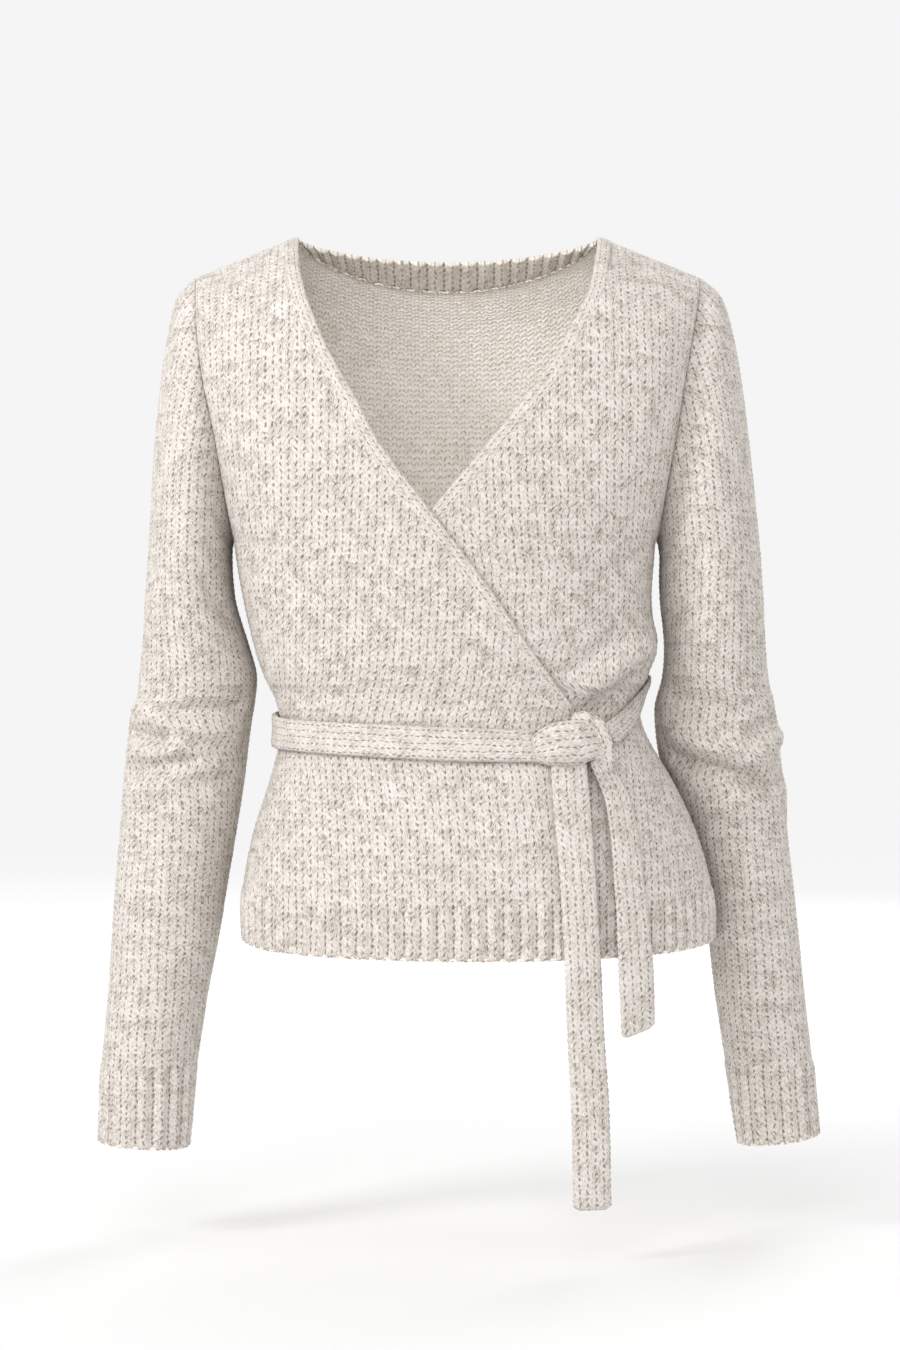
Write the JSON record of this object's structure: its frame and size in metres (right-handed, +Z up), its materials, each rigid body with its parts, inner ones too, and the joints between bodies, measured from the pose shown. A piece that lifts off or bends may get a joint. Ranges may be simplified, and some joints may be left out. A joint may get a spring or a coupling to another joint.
{
  "type": "wrap cardigan",
  "caption": "Chunky marled knit wrap cardigan with long sleeves, ribbed hem, cuffs and back neck, and a knotted tie belt, in its worn form with no wearer.",
  "frame": {"origin": "midway between the two points where the shoulder seams meet the neck", "axes": "+Z up along the body, the front faces -Y, +X towards the wearer's left"},
  "size_m": [0.5364, 0.2314, 0.701],
  "materials": {
    "knit_over": "marled chunky stockinette knit",
    "knit_under": "marled chunky stockinette knit",
    "knit_back": "marled chunky stockinette knit, purl side inwards",
    "knit_sleeve": "marled chunky stockinette knit",
    "rib_neck": "marled one by one rib",
    "knit_belt": "marled fine knit strip"
  },
  "bodies": {
    "root": {"right_front": "knit_over", "left_front": "knit_under", "back": "knit_back", "back_neck_band": "rib_neck", "right_sleeve": "knit_sleeve", "left_sleeve": "knit_sleeve", "belt_band": "knit_belt", "belt_knot": "knit_belt", "belt_tail_long": "knit_belt", "belt_tail_short": "knit_belt"}
  },
  "joints": []
}
